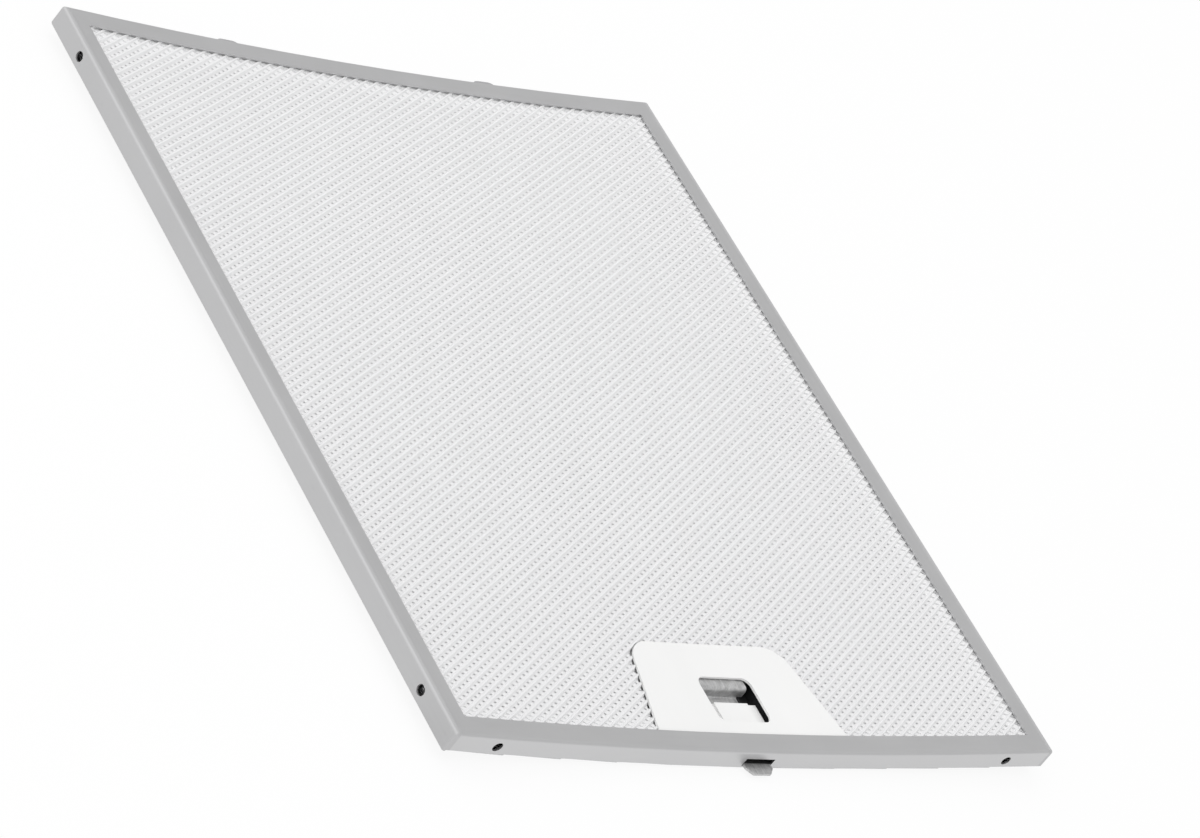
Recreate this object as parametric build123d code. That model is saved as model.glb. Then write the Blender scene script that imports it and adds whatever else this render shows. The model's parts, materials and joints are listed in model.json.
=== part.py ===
from build123d import *
import os
from math import cos, degrees, pi, sin

# Cooker hood grease filter: a folded aluminium frame round a pack of expanded mesh, with a sprung latch.
# Millimetres. The panel lies on its back: X runs across it, Y along it and Z out of its front.
# The latch is at the -Y edge. The panel is bowed about an axis along Y, with its front hollow.

# Panel
panel_width = 267.0
panel_length = 305.0
panel_depth = 8.0
bow_sag = 4.25

# Frame strip
strip_thickness = 0.6
flange_width = 7.5
fold_radius = 1.0
mitre_gap = 0.25
drain_diameter = 3.6
drain_inset = 20.0

# Mesh pack
pack_clearance = 1.3
layer_clearance = 0.4
skin_height = 1.1
skin_sheet = 0.5
bow_flats = 5
strand_slope = 0.6
ridge_spacing = 14.0
ridge_width = 3.2
slit_width = 3.6
slit_margin = 9.0
slit_bays = 2
layer_count = 4
foil_thickness = 0.25
crimp_pitch = 18.0

# Latch plate and its finger opening
seat_clearance = 0.1
plate_thickness = 0.8
plate_base_width = 88.0
plate_top_width = 66.0
plate_reach = 37.0
plate_corner_radius = 10.0
plate_clearance = 0.3
opening_width = 23.5
opening_height = 18.0
opening_offset = 5.4
opening_radius = 3.2
pad_width = 15.0
pad_drop = 2.0
pad_height = 9.3
ledge_drop = 2.8
lip_thickness = 0.8
lip_root = 1.2

# Latch housing behind the plate
housing_width = 30.0
housing_wall = 1.2
housing_back = 0.7
housing_clearance = 0.3
guide_width = 1.0
post_diameter = 1.8
post_length = 4.0

# Sliding tongue
tongue_thickness = 0.8
tongue_width = 12.0
tongue_tip_width = 7.5
tongue_tip_length = 2.4
tongue_reach = 4.0
tongue_body_width = 15.5
tongue_bend = 0.6
tongue_lift = 0.15
tongue_travel = 6.0
slide_clearance = 0.3
shoulder_gap = 0.2
tongue_slot_height = 3.3
tab_offset = 14.2
tab_width = 20.4
tab_lip = 6.5

# Spring
spring_diameter = 3.4
spring_wire = 0.5
spring_turns = 7
spring_length = 14.0
spring_bends = 8

# Locating tabs on the edge opposite the latch
locator_spacing = 117.0
locator_width = 12.0
locator_reach = 4.0
locator_thickness = 1.0
locator_depth = 3.0
locator_base_width = 20.0
locator_base_height = 5.2
locator_tip_radius = 3.8
slot_clearance = 0.2

# Values that follow
bow_radius = (panel_width / 2) ** 2 / (2 * bow_sag) + bow_sag / 2
axis_height = bow_radius + panel_depth
half_width = panel_width / 2
half_length = panel_length / 2
overcut = 1.0
web_inside = half_length - strip_thickness
pack_half_width = half_width - strip_thickness - pack_clearance
pack_half_length = web_inside - pack_clearance
skin_depth = strip_thickness + layer_clearance
face_depth = strip_thickness + seat_clearance
back_depth = panel_depth - face_depth
layer_band = (panel_depth - 2 * skin_depth - 2 * skin_height) / layer_count
flange_edge = -half_length + flange_width
plate_low = -web_inside + plate_clearance
plate_high = flange_edge + plate_reach
plate_back = face_depth + plate_thickness
opening_low = flange_edge + opening_offset
opening_high = opening_low + opening_height
housing_low = -web_inside + housing_clearance
housing_front = plate_back + seat_clearance
housing_floor = back_depth - housing_back
tongue_back = housing_floor - tongue_lift
tongue_front = tongue_back - tongue_thickness
tab_front = opening_low + tab_offset
tab_back = tab_front + tongue_thickness
tab_top = plate_back + slide_clearance
lip_back = tab_top + tongue_thickness
lip_end = tab_front + tab_lip
spring_seat = tab_back + spring_length
housing_high = spring_seat + housing_wall
spring_depth = (lip_back + housing_floor) / 2
locator_slot = locator_thickness + 2 * slot_clearance


def span(width, middle=0.0):
    """Low and high ends of a width about its middle."""
    return middle - width / 2, middle + width / 2


def bent(across, depth, along=0.0):
    """Point of the bowed panel, from its place across the front, its depth behind it and its place along Y."""
    turn = across / bow_radius
    reach = bow_radius + depth
    return Vector(reach * sin(turn), along, axis_height - reach * cos(turn))


def bow_arc(across, depth, along):
    """Arc of the bow at one depth."""
    return ThreePointArc(*[bent(place, depth, along) for place in (across[0], sum(across) / 2, across[1])])


def bent_block(across, along, depth):
    """Block that follows the bow, between two places across, two along and two depths."""
    front = bow_arc(across, depth[0], along[0])
    back = bow_arc(across, depth[1], along[0])
    outline = make_face([front, Line(front @ 1, back @ 1), back, Line(back @ 0, front @ 0)])
    return extrude(outline, amount=along[1] - along[0], dir=(0, 1, 0))


def bent_sheet(outline, depth):
    """Sheet of a flat outline in plan that follows the bow between two depths."""
    column = extrude(Pos(0, 0, -panel_depth) * outline, amount=4 * panel_depth)
    return column & bent_block(span(panel_width), span(panel_length), depth)


def sheet_block(shrink):
    """Outside of the folded sheet, or its inside when shrunk by the strip's thickness, with sharp edges."""
    across = span(panel_width - 2 * shrink)
    along = span(panel_length - 2 * shrink)
    return bent_block(across, along, (shrink, panel_depth - shrink))


def mitre_cuts():
    """Thin cuts on the diagonals of the flanges at the four corners, front and back."""
    length = (flange_width - fold_radius) * 2 ** 0.5
    inset = (flange_width + fold_radius) / 2
    cuts = []
    for side in (-1, 1):
        for end in (-1, 1):
            for depth in (0, panel_depth):
                place = bent(side * (half_width - inset), depth, end * (half_length - inset))
                lean = side * degrees((half_width - inset) / bow_radius)
                cut = Box(length, mitre_gap, 2 * (strip_thickness + mitre_gap))
                cuts.append(Pos(*place) * Rot(0, -lean, side * end * 45) * cut)
    return cuts


def drain_cuts():
    """Round holes through the middle of the edge, near each corner."""
    drill = Cylinder(drain_diameter / 2, 2 * (fold_radius + strip_thickness))
    cuts = []
    for side in (-1, 1):
        for end in (-1, 1):
            short_edge = bent(side * (half_width - drain_inset), panel_depth / 2, end * half_length)
            long_edge = bent(side * half_width, panel_depth / 2, end * (half_length - drain_inset))
            cuts.append(Pos(*short_edge) * Rot(90, 0, 0) * drill)
            cuts.append(Pos(*long_edge) * Rot(0, 90, 0) * drill)
    return cuts


def edge_slots():
    """Slots in the edge for the tongue and the locating tabs."""
    wall = strip_thickness + overcut
    latch_end = (-half_length - overcut, -half_length + wall)
    far_end = (half_length - wall, half_length + overcut)
    tongue_slot = span(tongue_width + 2 * slide_clearance)
    slot_back = tongue_back + slot_clearance
    slots = [bent_block(tongue_slot, latch_end, (slot_back - tongue_slot_height, slot_back))]
    for side in (-1, 1):
        across = span(locator_width + 2 * slot_clearance, side * locator_spacing / 2)
        depth = (locator_depth - slot_clearance, locator_depth - slot_clearance + locator_slot)
        slots.append(bent_block(across, far_end, depth))
    return slots


def make_frame():
    """Strip folded to a U and bent round the panel as one piece."""
    window = bent_block(
        span(panel_width - 2 * flange_width),
        span(panel_length - 2 * flange_width),
        (-overcut, panel_depth + overcut),
    )
    outside = sheet_block(0)
    outside = fillet(outside.edges(), fold_radius)
    inside = sheet_block(strip_thickness)
    corners = inside.edges().sort_by(SortBy.LENGTH)[:4]
    inside = fillet(inside.edges() - corners, fold_radius - strip_thickness)
    frame = outside - inside - window
    return frame - mitre_cuts() - drain_cuts() - edge_slots()


def latch_outline(extra=0.0):
    """Plan of the latch plate, a trapezoid with rounded upper corners, grown by an extra all round."""
    corners = Polyline(
        (-plate_base_width / 2, plate_low),
        (plate_base_width / 2, plate_low),
        (plate_top_width / 2, plate_high),
        (-plate_top_width / 2, plate_high),
        close=True,
    )
    outline = make_face(corners)
    outline = fillet(outline.vertices().group_by(Axis.Y)[-1], plate_corner_radius)
    return offset(outline, amount=extra, kind=Kind.ARC) if extra else outline


def housing_plan(extra=0.0):
    """Plan of the latch housing, grown by an extra all round."""
    middle = (housing_low + housing_high) / 2
    return Pos(0, middle) * Rectangle(housing_width + 2 * extra, housing_high - housing_low + 2 * extra)


def slit_cuts(start, run, ridges):
    """Gaps through one flat, between its ridges and clear of the flanges and the latch."""
    over_latch = abs(start.X + run.X / 2) - run.X / 2 + slit_margin < plate_base_width / 2
    lowest = (plate_high if over_latch else flange_edge) + slit_margin
    highest = half_length - flange_width - slit_margin
    inset = run * (slit_margin / run.X)
    cuts = []
    for ridge in ridges[::slit_bays]:
        near = start + inset + (0, ridge + ridge_spacing / 2 - start.Y, 0)
        far = near.Y + run.Y - 2 * inset.Y
        if near.Y > lowest and far < highest:
            mouth = Plane(near, x_dir=(0, 1, 0), z_dir=(1, 0, 0)) * Rectangle(slit_width, 4 * skin_sheet)
            cuts.append(extrude(mouth, amount=(run - 2 * inset).length, dir=run))
    return cuts


def skin_flat(number, flat_depth, facing):
    """One flat of an expanded skin, ridged along its strands on the side that it faces. A front one has gaps."""
    flat_width = 2 * pack_half_width / bow_flats
    start = bent(-pack_half_width + number * flat_width, flat_depth)
    end = bent(-pack_half_width + (number + 1) * flat_width, flat_depth)
    run = Vector(end.X - start.X, (end.X - start.X) * strand_slope, end.Z - start.Z)
    sheet_side = start.Z + facing * skin_sheet
    crest = start.Z + facing * skin_height
    first = strand_slope * start.X
    count = int((pack_half_length + abs(first) + run.Y) / ridge_spacing) + 1
    ridges = [first + step * ridge_spacing for step in range(-count, count + 1)]
    low = ridges[0] - ridge_spacing
    high = ridges[-1] + ridge_spacing
    section = [(start.X, high, sheet_side), (start.X, high, start.Z)]
    section += [(start.X, low, start.Z), (start.X, low, sheet_side)]
    for ridge in ridges:
        sides = span(ridge_width, ridge)
        section += [(start.X, sides[0], sheet_side), (start.X, ridge, crest), (start.X, sides[1], sheet_side)]
    comb = extrude(make_face(Polyline(*section, close=True)), amount=run.length, dir=run)
    trim = Box(run.X, 2 * pack_half_length, 4 * panel_depth)
    flat = comb & Pos((start.X + end.X) / 2, 0, start.Z) * trim
    return flat - slit_cuts(start, run, ridges) if facing > 0 else flat


def make_skin(flat_depth, facing, hole):
    """Expanded skin as flats that follow the bow, with a hole for the latch."""
    flats = [skin_flat(number, flat_depth, facing) for number in range(bow_flats)]
    skin = flats[0].fuse(*flats[1:])
    return skin - extrude(Pos(0, 0, -panel_depth) * hole, 4 * panel_depth)


def make_layer(number):
    """Crimped foil layer, whose waves run along Y and keep its neighbours apart."""
    top = skin_depth + skin_height + number * layer_band + layer_clearance / 2
    bottom = top + layer_band - layer_clearance - foil_thickness
    waves = int(2 * pack_half_width / crimp_pitch)
    places = [span(2 * pack_half_width)[0] + step * pack_half_width / waves for step in range(2 * waves + 1)]
    upper = []
    for step, place in enumerate(places):
        depth = (top, bottom)[(step + number) % 2]
        upper.append(bent(place, depth, -pack_half_length))
    lower = [point - (0, 0, foil_thickness) for point in reversed(upper)]
    section = make_face(Polyline(*upper, *lower, close=True))
    sheet = extrude(section, amount=2 * pack_half_length, dir=(0, 1, 0))
    return sheet - extrude(Pos(0, 0, -panel_depth) * housing_plan(housing_clearance), 4 * panel_depth)


def make_latch_plate():
    """Plate with a finger opening, and a stepped lip that forms the floor of the lower part of the opening."""
    plate = bent_sheet(latch_outline(), (face_depth, plate_back))
    middle = (opening_low + opening_high) / 2
    opening = Pos(0, middle) * RectangleRounded(opening_width, opening_height, opening_radius)
    plate -= extrude(Pos(0, 0, -panel_depth) * opening, 4 * panel_depth)
    root = (opening_low - lip_root, opening_low)
    lip = (opening_low - lip_root, opening_low + pad_height)
    ledge_back = face_depth + ledge_drop + lip_thickness
    plate += bent_block(span(opening_width), root, (face_depth, ledge_back))
    plate += bent_block(span(opening_width), lip, (face_depth + ledge_drop, ledge_back))
    plate += bent_block(span(pad_width), lip, (face_depth + pad_drop, ledge_back))
    for side in (-1, 1):
        rib = span(lip_thickness, side * (tongue_body_width / 2 - lip_thickness))
        plate += bent_block(rib, lip, (ledge_back, tongue_front - slide_clearance))
    return plate


def make_latch_housing():
    """Tray behind the plate, open towards the edge, with two guides for the tongue and a post for the spring."""
    along = (housing_low, housing_high)
    tray = bent_block(span(housing_width), along, (housing_front, back_depth))
    pocket = (housing_low - overcut, spring_seat)
    tray -= bent_block(span(housing_width - 2 * housing_wall), pocket, (face_depth, housing_floor))
    for side in (-1, 1):
        guide = span(guide_width, side * (tongue_body_width / 2 + slide_clearance + guide_width / 2))
        tray += bent_block(guide, (housing_low, tab_back + tongue_travel), (tongue_front, housing_floor))
    post = Cylinder(post_diameter / 2, post_length, align=(Align.CENTER, Align.CENTER, Align.MIN))
    return tray + Pos(*bent(0, spring_depth, spring_seat)) * Rot(90, 0, 0) * post


def make_latch_tongue():
    """Steel strip that slides in the housing, turned up and back at its inner end as a finger tab."""
    tip = -half_length - tongue_reach
    low = panel_depth - tongue_back
    step = low + tongue_thickness
    high = panel_depth - tab_top
    under = panel_depth - lip_back
    strip_line = [(0, tip, step), (0, tip, low), (0, tab_back, low)]
    lip_line = [(0, tab_back, under), (0, lip_end, under), (0, lip_end, high)]
    tab_line = [(0, tab_front, high), (0, tab_front, step)]
    side_view = make_face(Polyline(*strip_line, *lip_line, *tab_line, close=True))
    strip = extrude(side_view, amount=tab_width / 2, dir=(1, 0, 0), both=True)
    inner_bends = ((tab_front, step), (tab_back, under))
    outer_bends = ((tab_back, low), (tab_front, high))
    for radius, places in ((tongue_bend, inner_bends), (tongue_bend + tongue_thickness, outer_bends)):
        edges = strip.edges().filter_by(Axis.X)
        strip = fillet([edges.sort_by_distance((0, *place))[0] for place in places], radius)
    shoulder = -web_inside + shoulder_gap
    half_plan = Polyline(
        (0, tip),
        (tongue_tip_width / 2, tip),
        (tongue_width / 2, tip + tongue_tip_length),
        (tongue_width / 2, shoulder),
        (tongue_body_width / 2, shoulder),
        (tongue_body_width / 2, tab_back),
        (0, tab_back),
        close=True,
    )
    plan = make_face(half_plan)
    plan += mirror(plan, about=Plane.YZ)
    tab_low = step + slide_clearance
    tab_middle = Pos(0, (tab_front + lip_end) / 2, (tab_low + high) / 2)
    tab_room = tab_middle * Box(tab_width, tab_lip, high - tab_low)
    return strip & (extrude(plan, panel_depth) + tab_room)


def make_latch_spring():
    """Compression spring between the finger tab and the end of the housing, as short straight runs of wire."""
    low = tab_back + spring_wire / 2 + seat_clearance
    rise = (spring_length - spring_wire - 2 * seat_clearance) / (spring_turns * spring_bends)
    coil_radius = (spring_diameter - spring_wire) / 2
    middle = bent(0, spring_depth)
    bends = []
    for bend in range(spring_turns * spring_bends + 1):
        turn = 2 * pi * bend / spring_bends
        bends.append(middle + (coil_radius * cos(turn), low + bend * rise, coil_radius * sin(turn)))
    coil = Polyline(*bends)
    wire = Plane(coil @ 0, z_dir=coil % 0) * RegularPolygon(spring_wire / 2, 5)
    return sweep(wire, coil, transition=Transition.RIGHT)


def make_locating_tab(side):
    """Angle piece inside the edge, with a rounded tab that passes out through its slot."""
    middle = side * locator_spacing / 2
    base = (web_inside - seat_clearance - locator_thickness, web_inside - seat_clearance)
    stem = (base[0], half_length + locator_reach)
    tab = bent_block(span(locator_width, middle), stem, (locator_depth, locator_depth + locator_thickness))
    tip_corners = tab.edges().group_by(SortBy.LENGTH)[0].group_by(Axis.Y)[-1]
    tab = fillet(tip_corners, locator_tip_radius)
    foot = span(locator_base_height, panel_depth / 2)
    return tab + bent_block(span(locator_base_width, middle), base, foot)


front_hole = latch_outline(plate_clearance)
rear_hole = housing_plan(housing_clearance)
pieces = {
    "frame": make_frame(),
    "front_mesh": make_skin(skin_depth + skin_height, 1, front_hole),
    "rear_mesh": make_skin(panel_depth - skin_depth - skin_height, -1, rear_hole),
    "latch_plate": make_latch_plate(),
    "latch_housing": make_latch_housing(),
    "latch_tongue": make_latch_tongue(),
    "latch_spring": make_latch_spring(),
    "locating_tab_left": make_locating_tab(-1),
    "locating_tab_right": make_locating_tab(1),
}
for number in range(layer_count):
    pieces[f"filter_layer_{number + 1}"] = make_layer(number)

os.makedirs("parts", exist_ok=True)
for name, piece in pieces.items():
    piece.label = name
    export_step(piece, f"parts/{name}.step")
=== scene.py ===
import json
from math import cos, hypot, pi, radians, sin

import bmesh
import bpy
from bpy.props import FloatProperty, FloatVectorProperty, IntProperty, PointerProperty
from mathutils import Euler, Matrix, Vector


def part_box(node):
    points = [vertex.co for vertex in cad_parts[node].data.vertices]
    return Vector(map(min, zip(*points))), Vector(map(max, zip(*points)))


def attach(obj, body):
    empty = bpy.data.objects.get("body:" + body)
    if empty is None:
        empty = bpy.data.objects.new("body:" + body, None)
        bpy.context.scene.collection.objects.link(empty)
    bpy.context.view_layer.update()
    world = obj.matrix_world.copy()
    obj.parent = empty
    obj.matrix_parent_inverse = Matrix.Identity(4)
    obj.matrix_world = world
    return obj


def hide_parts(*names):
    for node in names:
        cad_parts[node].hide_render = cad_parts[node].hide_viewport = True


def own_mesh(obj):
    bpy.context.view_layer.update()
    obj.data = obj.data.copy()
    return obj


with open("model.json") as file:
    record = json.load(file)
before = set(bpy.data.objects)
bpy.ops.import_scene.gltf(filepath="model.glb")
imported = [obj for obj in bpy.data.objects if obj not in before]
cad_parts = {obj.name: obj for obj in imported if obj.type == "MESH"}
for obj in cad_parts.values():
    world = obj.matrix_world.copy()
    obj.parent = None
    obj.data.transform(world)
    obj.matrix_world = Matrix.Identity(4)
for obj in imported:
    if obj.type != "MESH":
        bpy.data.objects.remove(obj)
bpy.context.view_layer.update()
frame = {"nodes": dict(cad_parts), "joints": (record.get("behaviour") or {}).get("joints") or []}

bl_info = {
    "name": "Cooker hood filter",
    "version": (1, 0, 0),
    "blender": (4, 5, 0),
    "location": "View3D > Sidebar > Filter",
    "description": "Dresses a packed cooker hood filter with its mesh, finishes and stage",
    "category": "Object",
}

MM = 0.001
WHITE = (1.0, 1.0, 1.0, 1.0)
ARC_STEPS = 6
WIRE_SIDES = 8
TURN_STEPS = 20
FOIL_WAVES_ACROSS = 1257.0
FOIL_WAVES_ALONG = 2094.0


def length(name, description, default):
    """Length property, given in millimetres."""
    return FloatProperty(name=name, description=description, default=default * MM, min=0.0, precision=5,
                         subtype="DISTANCE", unit="LENGTH")


def point(name, description, default):
    """Place property, given in metres."""
    return FloatVectorProperty(name=name, description=description, default=default, size=3,
                               subtype="TRANSLATION", unit="LENGTH")


def share(name, description, default):
    """Number from 0 to 1."""
    return FloatProperty(name=name, description=description, default=default, min=0.0, max=1.0,
                         subtype="FACTOR")


def colour(name, description, default):
    """Linear colour property."""
    return FloatVectorProperty(name=name, description=description, default=default, min=0.0, max=1.0, size=3,
                               subtype="COLOR")


class PanelSizes(bpy.types.PropertyGroup):
    """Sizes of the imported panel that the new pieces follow."""

    half_width: length("Half width", "Half of the panel's width along its front", 133.5)
    half_length: length("Half length", "Half of the panel's length", 152.5)
    depth: length("Depth", "Depth of the folded frame", 8.0)
    flange: length("Flange", "Width of the frame's flange round the window", 7.5)
    sag: length("Sag", "How far the middle of the front lies below its long edges", 4.25)
    skin_depth: length("Skin depth", "Depth of the front skin behind the front of the frame", 1.0)
    skin_height: length("Skin height", "Height that one expanded skin takes", 1.1)
    dull_fold: length("Dull fold", "Width along the long sides that the fold dulls", 2.0)


class MeshSizes(bpy.types.PropertyGroup):
    """Sizes of the expanded aluminium mesh."""

    long_way: length("Long way", "Length of one diamond across the panel", 4.84)
    short_way: length("Short way", "Height of one diamond along the panel", 3.0)
    strand_foot: length("Strand foot", "Width of a strand that stands out, at its foot", 1.9)
    strand_crest: length("Strand crest", "Width of its flat crest", 0.45)
    strand_height: length("Strand height", "Height of its crest", 1.08)
    cross_foot: length("Cross foot", "Width of a strand that crosses them, at its foot", 2.1)
    cross_crest: length("Cross crest", "Width of its flat crest", 1.7)
    cross_height: length("Cross height", "Height of its crest", 0.14)
    strand_lift: length("Strand lift", "How much higher its crest is at the frame", 0.3)
    cross_lift: length("Cross lift", "How much higher a crossing crest is at the frame", 0.85)
    lift_reach: length("Lift reach", "How far from the frame the crests begin to rise", 5.0)
    cut_gap: length("Cut gap", "Gap between the mesh and the piece that it is cut round", 0.3)


class LatchSizes(bpy.types.PropertyGroup):
    """Places of the latch that the mesh and the spring follow."""

    plate_base: length("Plate base", "Width of the latch plate at the frame", 88.0)
    plate_top: length("Plate top", "Width of the latch plate at its upper edge", 66.0)
    plate_corner: length("Plate corner", "Radius of the plate's upper corners", 10.0)
    spring_coil: length("Spring coil", "Diameter of the spring at the middle of its wire", 2.9)
    spring_wire: length("Spring wire", "Diameter of the spring's wire", 0.5)
    spring_turns: IntProperty(name="Spring turns", description="Open turns of the spring", default=7, min=3)


class FinishColours(bpy.types.PropertyGroup):
    """Colours of the finishes."""

    sheet: colour("Frame sheet", "Rolled aluminium of the frame", (0.60, 0.60, 0.605))
    mesh: colour("Mesh", "Bright aluminium of the expanded skins", (0.85, 0.85, 0.855))
    foil: colour("Foil", "Bright aluminium of the layers inside", (0.86, 0.86, 0.865))
    plate: colour("Latch plate", "Pale plastic of the latch plate", (0.865, 0.865, 0.86))
    housing: colour("Latch housing", "Dark plastic of the latch housing", (0.016, 0.016, 0.017))
    steel: colour("Steel", "Zinc plate of the tongue, tabs and spring", (0.55, 0.55, 0.56))


class StageSettings(bpy.types.PropertyGroup):
    """Camera, floor and light."""

    camera_place: point("Camera place", "Where the camera stands", (-1.0348, -0.7915, 0.7554))
    camera_turn: FloatVectorProperty(name="Camera turn", description="How the camera is turned", size=3,
                                     default=(radians(53.548), radians(-33.305), radians(-31.257)),
                                     subtype="EULER", unit="ROTATION")
    camera_lens: FloatProperty(name="Camera lens", description="Focal length in millimetres", default=138.05,
                               unit="CAMERA")
    camera_sensor: FloatProperty(name="Camera sensor", description="Width of the sensor in millimetres",
                                 default=36.0, unit="CAMERA")
    floor_reach: length("Floor reach", "Half of the floor's width", 4000.0)
    floor_paint: colour("Floor paint", "Pale paint of the floor", (0.9, 0.9, 0.9))
    floor_white: share("Floor white", "How much of what is seen of the floor is plain white", 0.88)
    room_light: share("Room light", "Brightness of the room behind the panel", 0.6)
    room_front: FloatVectorProperty(name="Room front", description="Direction of the room's bright side",
                                    default=(-0.80, -0.60, 0.0), size=3, subtype="DIRECTION")
    key_power: FloatProperty(name="Key power", description="Power of the soft lamp", default=12.5,
                             subtype="POWER", unit="POWER")
    key_size: length("Key size", "Width of the soft lamp", 3000.0)
    key_place: point("Key place", "Where the soft lamp hangs", (-0.35, 0.38, 1.3))


class Shade:
    """Socket of a material's node tree, whose arithmetic adds Math nodes."""

    def __init__(self, tree, socket=None):
        self.tree = tree
        self.socket = socket

    def node(self, kind, settings=(), sockets=(), output=0):
        """Adds a node, sets it up, fills its sockets with values or links and gives one of its outputs."""
        made = self.tree.nodes.new(kind)
        for key, value in dict(settings).items():
            if key == "stops":
                ramp = made.color_ramp.elements
                while len(ramp) < len(value):
                    ramp.new(1.0)
                for element, (place, grey) in zip(ramp, value):
                    element.position = place
                    element.color = (grey, grey, grey, 1.0)
            else:
                setattr(made, key, value)
        for key, value in dict(sockets).items():
            if isinstance(value, Shade):
                self.tree.links.new(value.socket, made.inputs[key])
            else:
                made.inputs[key].default_value = value
        return None if output is None else Shade(self.tree, made.outputs[output])

    def math(self, operation, first, second):
        return self.node("ShaderNodeMath", {"operation": operation}, {0: first, 1: second})

    def __add__(self, other):
        return self.math("ADD", self, other)

    def __radd__(self, other):
        return self.math("ADD", other, self)

    def __sub__(self, other):
        return self.math("SUBTRACT", self, other)

    def __rsub__(self, other):
        return self.math("SUBTRACT", other, self)

    def __mul__(self, other):
        return self.math("MULTIPLY", self, other)

    def __rmul__(self, other):
        return self.math("MULTIPLY", other, self)

    def __gt__(self, other):
        return self.math("GREATER_THAN", self, other)

    def __abs__(self):
        return self.math("ABSOLUTE", self, 0.0)

    def clamped(self):
        return self.node("ShaderNodeClamp", (), {"Value": self})


class Finish:
    """Material with a Principled shader, and the patterns that finishes share."""

    def __init__(self, name):
        self.material = bpy.data.materials.new(name)
        self.material.use_nodes = True
        tree = self.material.node_tree
        self.shader = next(node for node in tree.nodes if node.type == "BSDF_PRINCIPLED")
        self.shade = Shade(tree)
        self.place = self.shade.node("ShaderNodeTexCoord", output="Object")

    def axis(self, name):
        """One of the Object coordinates."""
        return self.shade.node("ShaderNodeSeparateXYZ", (), {0: self.place}, name)

    def noise(self, scale, detail=2.0, stretch=(1.0, 1.0, 1.0), roughness=0.5):
        """Noise on Object coordinates, with its own stretch."""
        mapped = self.shade.node("ShaderNodeMapping", {"vector_type": "POINT"},
                                 {"Vector": self.place, "Scale": stretch})
        sockets = {"Vector": mapped, "Scale": scale, "Detail": detail, "Roughness": roughness}
        return self.shade.node("ShaderNodeTexNoise", (), sockets, "Fac")

    def ramp(self, value, *stops):
        """Value eased between stops."""
        return self.shade.node("ShaderNodeValToRGB", {"stops": stops}, {"Fac": value})

    def blend(self, factor, first, second):
        """Number between two others."""
        return self.shade.node("ShaderNodeMix", {"data_type": "FLOAT"}, {0: factor, 2: first, 3: second})

    def tint(self, factor, base, low, high):
        """Colour from base times low to base times high."""
        first = [part * low for part in base] + [1.0]
        second = [min(part * high, 1.0) for part in base] + [1.0]
        return self.shade.node("ShaderNodeMix", {"data_type": "RGBA"}, {0: factor, 6: first, 7: second}, 2)

    def bump(self, height, distance, strength=1.0):
        """Relief for the Normal socket."""
        sockets = {"Height": height, "Distance": distance, "Strength": strength}
        return self.shade.node("ShaderNodeBump", (), sockets, "Normal")

    def set(self, **sockets):
        """Fills the shader's sockets with values or links."""
        for key, value in sockets.items():
            socket = self.shader.inputs[key.replace("_", " ")]
            if isinstance(value, Shade):
                self.shade.tree.links.new(value.socket, socket)
            else:
                socket.default_value = value
        return self.material


def rolled_sheet(scene):
    """Satin rolled aluminium, with rolling marks along each side, a few rubs and duller long folds."""
    panel = scene.hood_panel
    finish = Finish("rolled_aluminium_sheet")
    across = abs(finish.axis("X"))
    along = abs(finish.axis("Y"))
    short_side = along - across > panel.half_length - panel.half_width
    marks_long = finish.noise(1.0, 4.0, (1400.0, 9.0, 1400.0), 0.6)
    marks_short = finish.noise(1.0, 4.0, (9.0, 1400.0, 1400.0), 0.6)
    marks = finish.blend(short_side, marks_long, marks_short)
    clouds = finish.noise(38.0, 3.0)
    rubs = finish.ramp(finish.noise(210.0, 5.0, (1.0, 1.0, 2.5), 0.7), (0.60, 0.0), (0.74, 1.0))
    folded = across > panel.half_width - panel.dull_fold
    tone = marks * 0.35 + clouds * 0.65
    return finish.set(
        Base_Color=finish.tint(tone, scene.hood_colours.sheet, 0.93, 1.07),
        Metallic=1.0,
        Roughness=(0.30 + marks * 0.16 + clouds * 0.08 + rubs * 0.06 + folded * 0.25).clamped(),
        Normal=finish.bump(marks, 0.00003, 0.35),
    )


def bright_mesh(scene):
    """Bright expanded aluminium, dulled a little where the strands were sheared."""
    finish = Finish("bright_expanded_aluminium")
    fine = finish.noise(1900.0, 3.0)
    clouds = finish.noise(55.0, 3.0)
    tone = fine * 0.5 + clouds * 0.5
    return finish.set(
        Base_Color=finish.tint(tone, scene.hood_colours.mesh, 0.97, 1.03),
        Metallic=0.15,
        Roughness=(0.40 + fine * 0.16).clamped(),
        Normal=finish.bump(fine, 0.00004, 0.4),
    )


def crimped_foil(scene):
    """Bright foil with the diamond relief of expanded foil."""
    finish = Finish("bright_crimped_foil")
    across = finish.axis("X") * FOIL_WAVES_ACROSS
    along = finish.axis("Y") * FOIL_WAVES_ALONG
    rising = finish.shade.math("SINE", across + along, 0.0)
    falling = finish.shade.math("SINE", across - along, 0.0)
    diamonds = finish.shade.math("MAXIMUM", rising, falling)
    fine = finish.noise(900.0, 2.0)
    return finish.set(
        Base_Color=finish.tint(diamonds * 0.3 + fine * 0.7, scene.hood_colours.foil, 0.9, 1.08),
        Metallic=1.0,
        Roughness=(0.36 + fine * 0.14).clamped(),
        Normal=finish.bump(diamonds, 0.0003, 0.6),
    )


def pale_plastic(scene):
    """Moulded pale plastic with a fine grain and faint flow marks."""
    finish = Finish("pale_moulded_plastic")
    grain = finish.noise(5200.0, 2.0)
    flow = finish.noise(46.0, 4.0, (1.0, 0.4, 1.0))
    return finish.set(
        Base_Color=finish.tint(flow, scene.hood_colours.plate, 0.97, 1.03),
        Roughness=(0.40 + grain * 0.10 + flow * 0.06).clamped(),
        IOR=1.49,
        Normal=finish.bump(grain, 0.00002, 0.35),
    )


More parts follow.
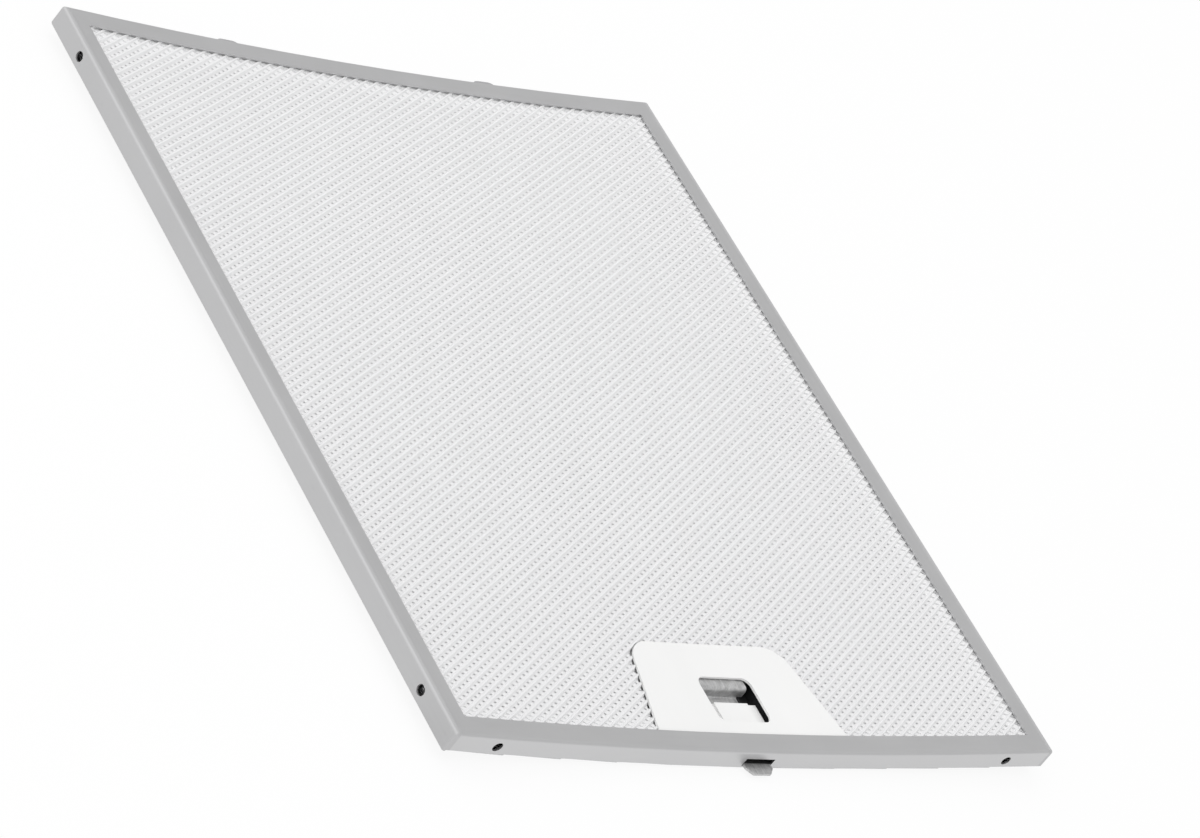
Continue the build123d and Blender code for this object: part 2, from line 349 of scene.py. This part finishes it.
def dark_plastic(scene):
    """Dark moulded plastic, a little dusty."""
    finish = Finish("dark_moulded_plastic")
    grain = finish.noise(4200.0, 2.0)
    dust = finish.noise(160.0, 5.0, roughness=0.65)
    return finish.set(
        Base_Color=finish.tint(dust, scene.hood_colours.housing, 0.7, 1.7),
        Roughness=(0.46 + dust * 0.14).clamped(),
        IOR=1.5,
        Normal=finish.bump(grain, 0.00003, 0.4),
    )


def steel_marks(finish):
    """Drawn marks along a steel piece, and the mottle of its plate."""
    drawn = finish.noise(1.0, 3.0, (2200.0, 30.0, 2200.0), 0.6)
    mottle = finish.noise(520.0, 4.0, roughness=0.6)
    return drawn, mottle


def zinc_plate(scene):
    """Zinc plated steel strip, with drawn marks along it and a mottled plate."""
    finish = Finish("zinc_plated_steel")
    drawn, mottle = steel_marks(finish)
    return finish.set(
        Base_Color=finish.tint(mottle * 0.6 + drawn * 0.4, scene.hood_colours.steel, 0.82, 1.18),
        Metallic=1.0,
        Roughness=(0.30 + mottle * 0.16 + drawn * 0.08).clamped(),
        Normal=finish.bump(drawn, 0.00003, 0.3),
    )


def steel_with_painted_slot_shade(scene):
    """Zinc plated steel of the tongue, with painted shade darkening the stretch that lies inside its slot.
    """
    finish = Finish("zinc_plated_steel_with_painted_slot_shade")
    drawn, mottle = steel_marks(finish)
    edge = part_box("frame")[0].y
    inside = finish.axis("Y") * 10.0 - edge * 10.0
    # painted shade: the mask darkens the base colour to a tenth from the frame's outer face to about 20 mm
    # inside it, where the slot shades the tongue
    slot = finish.ramp(inside, (0.0, 0.0), (0.004, 1.0), (0.18, 1.0), (0.23, 0.0))
    tone = (mottle * 0.6 + drawn * 0.4) * (1.0 - slot)
    return finish.set(
        Base_Color=finish.tint(tone, scene.hood_colours.steel, 0.10, 1.9),
        Metallic=0.7,
        Roughness=(0.34 + mottle * 0.16 + drawn * 0.08).clamped(),
        Normal=finish.bump(drawn, 0.00003, 0.3),
    )


def finished(finish, scene, *names):
    """Gives CAD nodes a finish."""
    material = finish(scene)
    for name in names:
        frame["nodes"][name].data.materials.clear()
        frame["nodes"][name].data.materials.append(material)


def made_piece(name, shape, material, slot, *nodes):
    """Turns a bmesh into a piece of the filter that stands for CAD nodes."""
    mesh = bpy.data.meshes.new(name)
    shape.to_mesh(mesh)
    shape.free()
    mesh.materials.append(material)
    piece = bpy.data.objects.new(name, mesh)
    bpy.context.scene.collection.objects.link(piece)
    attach(piece, "filter")
    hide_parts(*nodes)
    return piece


def bowed(panel, place, depth):
    """Point of the bowed panel, from its place on the flat panel and its depth behind the front."""
    radius = panel.half_width ** 2 / (2 * panel.sag) + panel.sag / 2
    turn = place.x / radius
    reach = radius + depth
    return Vector((reach * sin(turn), place.y, radius + panel.depth - reach * cos(turn)))


def whole(shape):
    """All the geometry of a bmesh."""
    return shape.verts[:] + shape.edges[:] + shape.faces[:]


def strand_family(reach, pitch, slope, section, pieces):
    """Flat family of parallel closed strands. The section is a strand's foot, crest and height."""
    widen = hypot(1.0, slope)
    foot, crest, height = section[0] / 2 * widen, section[1] / 2 * widen, section[2]
    rows = int((reach.y + abs(slope) * reach.x) / pitch)
    start = Vector((-reach.x, -slope * reach.x - rows * pitch, 0.0))
    shape = bmesh.new()
    corners = [shape.verts.new(start + Vector((0.0, side, rise)))
               for side, rise in ((-foot, 0.0), (foot, 0.0), (crest, height), (-crest, height))]
    end = shape.faces.new(corners)
    run = Vector((1.0, slope, 0.0)) * 2 * reach.x / pieces
    bmesh.ops.spin(shape, geom=[end, *end.edges, *corners], cent=(0, 0, 0), axis=(0, 0, 1), dvec=run,
                   angle=0.0, steps=pieces)
    bmesh.ops.spin(shape, geom=whole(shape), cent=(0, 0, 0), axis=(0, 0, 1), dvec=(0, pitch, 0),
                   angle=0.0, steps=2 * rows, use_duplicate=True)
    for side in (-1, 1):
        bmesh.ops.bisect_plane(shape, geom=whole(shape), plane_co=(0, side * reach.y, 0),
                               plane_no=(0, side, 0), clear_outer=True)
    return shape


def raise_crests(shape, window, width, lift):
    """Raises the strands' crests towards the edge of the window, where the frame presses the pack."""
    for corner in shape.verts:
        inside = min(window.x - abs(corner.co.x), window.y - abs(corner.co.y))
        if corner.co.z > 0:
            corner.co.z += lift * min(max(1 - inside / width, 0.0), 1.0)


def faces_near(faces, corners, reach):
    """Faces whose middle lies within reach of the box round some corners."""
    low = [min(corner[k] for corner in corners) - reach for k in (0, 1)]
    high = [max(corner[k] for corner in corners) + reach for k in (0, 1)]
    middles = [(face, face.calc_center_median()) for face in faces]
    return [face for face, middle in middles
            if low[0] < middle.x < high[0] and low[1] < middle.y < high[1]]


def cut_round(shape, corners, reach):
    """Cuts a convex outline out of the flat mesh and closes the cut strands."""
    sides = []
    near = set(faces_near(shape.faces, corners, 2 * reach))
    for first, second in zip(corners, corners[1:] + corners[:1]):
        outward = Vector((second.y - first.y, first.x - second.x, 0)).normalized()
        parts = set()
        for face in faces_near(near, (first, second), reach):
            parts.update((face, *face.edges, *face.verts))
        cut = bmesh.ops.bisect_plane(shape, geom=list(parts), plane_co=first, plane_no=outward)["geom"]
        near.update(part for part in cut if isinstance(part, bmesh.types.BMFace))
        sides.append((first, outward))
    inside = [face for face in near
              if all((face.calc_center_median() - first).dot(outward) < 0 for first, outward in sides)]
    bmesh.ops.delete(shape, geom=inside, context="FACES")
    bmesh.ops.holes_fill(shape, edges=[edge for edge in shape.edges if edge.is_boundary], sides=0)


def plate_corners(latch, sizes):
    """Outline of the hole in the front skin, round the latch plate."""
    low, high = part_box("latch_plate")
    gap = sizes.cut_gap
    foot, head = latch.plate_base / 2 + gap, latch.plate_top / 2 + gap
    lean = (latch.plate_base - latch.plate_top) / 2 / (high.y - low.y)
    radius = latch.plate_corner
    slant = hypot(1.0, lean)
    centre = Vector((head + lean * radius - radius * slant, high.y + gap - radius, 0))
    turn = Vector((1.0, lean)).angle(Vector((0.0, 1.0)))
    turns = [pi / 2 - turn + turn * step / ARC_STEPS for step in range(ARC_STEPS + 1)]
    arc = [centre + Vector((cos(at), sin(at), 0)) * radius for at in turns]
    right = [Vector((foot, low.y - gap, 0))] + arc
    left = [Vector((-corner.x, corner.y, 0)) for corner in reversed(right)]
    return right + left


def housing_corners(sizes):
    """Outline of the hole in the rear skin, round the latch housing."""
    low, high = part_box("latch_housing")
    gap = sizes.cut_gap
    left, right = low.x - gap, high.x + gap
    near, far = low.y - gap, high.y + gap
    return [Vector((*corner, 0)) for corner in ((right, near), (right, far), (left, far), (left, near))]


def flat_mesh(panel, sizes, corner):
    """Flat expanded mesh: strands that stand out, over lower ones that cross them at the bonds."""
    bonds = int(2 * corner.x / sizes.long_way) * 2 - 1
    reach = Vector((bonds * sizes.long_way / 4, corner.y, 0.0))
    window = Vector((panel.half_width - panel.flange, panel.half_length - panel.flange, 0.0))
    slope = sizes.short_way / sizes.long_way
    standing = (sizes.strand_foot, sizes.strand_crest, sizes.strand_height)
    crossing = (sizes.cross_foot, sizes.cross_crest, sizes.cross_height)
    shape = strand_family(reach, sizes.short_way, slope, standing, bonds)
    lower = strand_family(reach, sizes.short_way, -slope, crossing, bonds)
    raise_crests(shape, window, sizes.lift_reach, sizes.strand_lift)
    raise_crests(lower, window, sizes.lift_reach, sizes.cross_lift)
    added = bpy.data.meshes.new("crossing_strands")
    lower.to_mesh(added)
    lower.free()
    shape.from_mesh(added)
    bpy.data.meshes.remove(added)
    return shape


class FILTER_OT_expanded_skins(bpy.types.Operator):
    """Makes the expanded mesh at the front and the back of the pack"""

    bl_idname = "filter.expanded_skins"
    bl_label = "Expanded skins"

    def execute(self, context):
        scene = context.scene
        panel, sizes = scene.hood_panel, scene.hood_mesh
        material = bright_mesh(scene)
        foot = panel.skin_depth + panel.skin_height
        skins = (
            ("front_expanded_skin", "front_mesh", plate_corners(scene.hood_latch, sizes), foot, -1),
            ("rear_expanded_skin", "rear_mesh", housing_corners(sizes), panel.depth - foot, 1),
        )
        for name, node, corners, depth, outward in skins:
            shape = flat_mesh(panel, sizes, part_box(node)[1])
            cut_round(shape, corners, sizes.short_way)
            for corner in shape.verts:
                corner.co = bowed(panel, corner.co, depth + outward * corner.co.z)
            bmesh.ops.recalc_face_normals(shape, faces=shape.faces)
            made_piece(name, shape, material, "aluminium_mesh", node)
        return {"FINISHED"}


class FILTER_OT_latch_spring(bpy.types.Operator):
    """Makes the latch spring at its rest length"""

    bl_idname = "filter.latch_spring"
    bl_label = "Latch spring"

    def execute(self, context):
        scene = context.scene
        latch = scene.hood_latch
        low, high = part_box("latch_spring")
        middle = (low + high) / 2
        wire = latch.spring_wire
        shape = bmesh.new()
        ring = bmesh.ops.create_circle(shape, cap_ends=True, segments=WIRE_SIDES, radius=wire / 2)["verts"]
        bmesh.ops.rotate(shape, cent=(0, 0, 0), matrix=Matrix.Rotation(pi / 2, 3, "Z"), verts=ring)
        bmesh.ops.translate(shape, vec=(latch.spring_coil / 2, low.y + wire / 2, 0), verts=ring)
        closed = 1.1 * wire
        pitch = (high.y - low.y - wire - 2 * closed) / latch.spring_turns
        section = whole(shape)
        for turns, rise in ((1, closed), (latch.spring_turns, pitch), (1, closed)):
            made = bmesh.ops.spin(shape, geom=section, cent=(0, 0, 0), axis=(0, 1, 0),
                                  dvec=(0, rise / TURN_STEPS, 0), angle=2 * pi * turns,
                                  steps=TURN_STEPS * turns, use_merge=False)
            section = made["geom_last"]
        bmesh.ops.remove_doubles(shape, verts=shape.verts, dist=wire / 100)
        bmesh.ops.translate(shape, vec=(middle.x, 0, middle.z), verts=shape.verts)
        bmesh.ops.recalc_face_normals(shape, faces=shape.faces)
        for face in shape.faces:
            face.smooth = len(face.verts) == 4
        spring = made_piece("coiled_latch_spring", shape, zinc_plate(scene), "steel", "latch_spring")
        slide = next(joint for joint in frame["joints"] if joint["name"] == "latch_slide")
        rest = high.y - low.y
        (rest - slide["range_m"][1]) / rest
        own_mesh(spring)
        return {"FINISHED"}


class FILTER_OT_frame_finish(bpy.types.Operator):
    """Gives the folded frame its rolled aluminium"""

    bl_idname = "filter.frame_finish"
    bl_label = "Frame finish"

    def execute(self, context):
        finished(rolled_sheet, context.scene, "frame")
        return {"FINISHED"}


class FILTER_OT_layer_finish(bpy.types.Operator):
    """Gives the layers inside the pack their bright foil"""

    bl_idname = "filter.layer_finish"
    bl_label = "Layer finish"

    def execute(self, context):
        layers = sorted(name for name in frame["nodes"] if name.startswith("filter_layer"))
        finished(crimped_foil, context.scene, *layers)
        return {"FINISHED"}


class FILTER_OT_latch_finish(bpy.types.Operator):
    """Gives the latch plate and its housing their plastics"""

    bl_idname = "filter.latch_finish"
    bl_label = "Latch finish"

    def execute(self, context):
        finished(pale_plastic, context.scene, "latch_plate")
        finished(dark_plastic, context.scene, "latch_housing")
        return {"FINISHED"}


class FILTER_OT_steel_finish(bpy.types.Operator):
    """Gives the tongue its plated steel, with painted shade inside its slot, and the locating tabs their
    plated steel
    """

    bl_idname = "filter.steel_finish"
    bl_label = "Steel finish"

    def execute(self, context):
        finished(steel_with_painted_slot_shade, context.scene, "latch_tongue")
        finished(zinc_plate, context.scene, "locating_tab_left", "locating_tab_right")
        return {"FINISHED"}


class FILTER_OT_stage(bpy.types.Operator):
    """Lays the pale floor and sets the light and the camera"""

    bl_idname = "filter.stage"
    bl_label = "Stage"

    def execute(self, context):
        scene = context.scene
        stage = scene.hood_stage
        self.lay_floor(scene, stage)
        self.light_room(scene, stage)
        self.set_camera(scene, stage)
        scene.view_settings.view_transform = "Standard"
        return {"FINISHED"}

    def lay_floor(self, scene, stage):
        shape = bmesh.new()
        bmesh.ops.create_grid(shape, x_segments=1, y_segments=1, size=stage.floor_reach)
        mesh = bpy.data.meshes.new("pale_floor")
        shape.to_mesh(mesh)
        shape.free()
        material = bpy.data.materials.new("pale_floor")
        material.use_nodes = True
        tree = material.node_tree
        tree.nodes.clear()
        shade = Shade(tree)
        seen = [shade.node("ShaderNodeLightPath", output=name)
                for name in ("Is Camera Ray", "Is Glossy Ray", "Is Transmission Ray")]
        paint = shade.node("ShaderNodeBsdfDiffuse", (), {"Color": (*stage.floor_paint, 1.0)})
        white = shade.node("ShaderNodeEmission", (), {"Color": WHITE, "Strength": 1.0})
        plain = (seen[0] + seen[1] + seen[2]).clamped() * stage.floor_white
        mixed = shade.node("ShaderNodeMixShader", (), {0: plain, 1: paint, 2: white})
        shade.node("ShaderNodeOutputMaterial", (), {"Surface": mixed}, None)
        mesh.materials.append(material)
        floor = bpy.data.objects.new("pale_floor", mesh)
        scene.collection.objects.link(floor)

    def light_room(self, scene, stage):
        world = bpy.data.worlds.new("studio_room")
        world.use_nodes = True
        tree = world.node_tree
        tree.nodes.clear()
        shade = Shade(tree)
        direction = shade.node("ShaderNodeTexCoord", output="Generated")
        across = shade.node("ShaderNodeVectorMath", {"operation": "DOT_PRODUCT"},
                            {0: direction, 1: stage.room_front}, "Value")
        front = (across * 0.5 + 0.5).clamped()
        level = shade.node("ShaderNodeMix", {"data_type": "FLOAT"}, {0: front, 2: stage.room_light, 3: 1.0})
        light = shade.node("ShaderNodeBackground", (), {"Color": WHITE, "Strength": level})
        shade.node("ShaderNodeOutputWorld", (), {"Surface": light}, None)
        scene.world = world
        lamp = bpy.data.lights.new("soft_key", "AREA")
        lamp.shape = "DISK"
        lamp.size = stage.key_size
        lamp.energy = stage.key_power
        key = bpy.data.objects.new("soft_key", lamp)
        key.location = stage.key_place
        key.rotation_euler = (-key.location).to_track_quat("-Z", "Y").to_euler()
        scene.collection.objects.link(key)

    def set_camera(self, scene, stage):
        lens = bpy.data.cameras.new("photo_camera")
        lens.sensor_fit = "HORIZONTAL"
        lens.sensor_width = stage.camera_sensor
        lens.lens = stage.camera_lens
        camera = bpy.data.objects.new("photo_camera", lens)
        camera.location = stage.camera_place
        camera.rotation_euler = Euler(stage.camera_turn, "XYZ")
        scene.collection.objects.link(camera)
        scene.camera = camera


class FILTER_PT_panel(bpy.types.Panel):
    """Sidebar panel that lists the pieces and finishes"""

    bl_idname = "FILTER_PT_panel"
    bl_label = "Cooker hood filter"
    bl_space_type = "VIEW_3D"
    bl_region_type = "UI"
    bl_category = "Filter"

    def draw(self, context):
        for step in steps:
            self.layout.operator(step.bl_idname)
        for name in groups:
            box = self.layout.box()
            settings = getattr(context.scene, name)
            for key in settings.__annotations__:
                box.prop(settings, key)


steps = (
    FILTER_OT_expanded_skins,
    FILTER_OT_latch_spring,
    FILTER_OT_frame_finish,
    FILTER_OT_layer_finish,
    FILTER_OT_latch_finish,
    FILTER_OT_steel_finish,
    FILTER_OT_stage,
)
groups = {
    "hood_panel": PanelSizes,
    "hood_mesh": MeshSizes,
    "hood_latch": LatchSizes,
    "hood_colours": FinishColours,
    "hood_stage": StageSettings,
}


def register():
    for made in (*groups.values(), *steps, FILTER_PT_panel):
        bpy.utils.register_class(made)
    for name, group in groups.items():
        setattr(bpy.types.Scene, name, PointerProperty(type=group))


def unregister():
    for name in groups:
        delattr(bpy.types.Scene, name)
    for made in reversed((*groups.values(), *steps, FILTER_PT_panel)):
        bpy.utils.unregister_class(made)


def main():
    register()
    for step in steps:
        group, name = step.bl_idname.split(".")
        getattr(getattr(bpy.ops, group), name)()


if __name__ == "__main__":
    main()
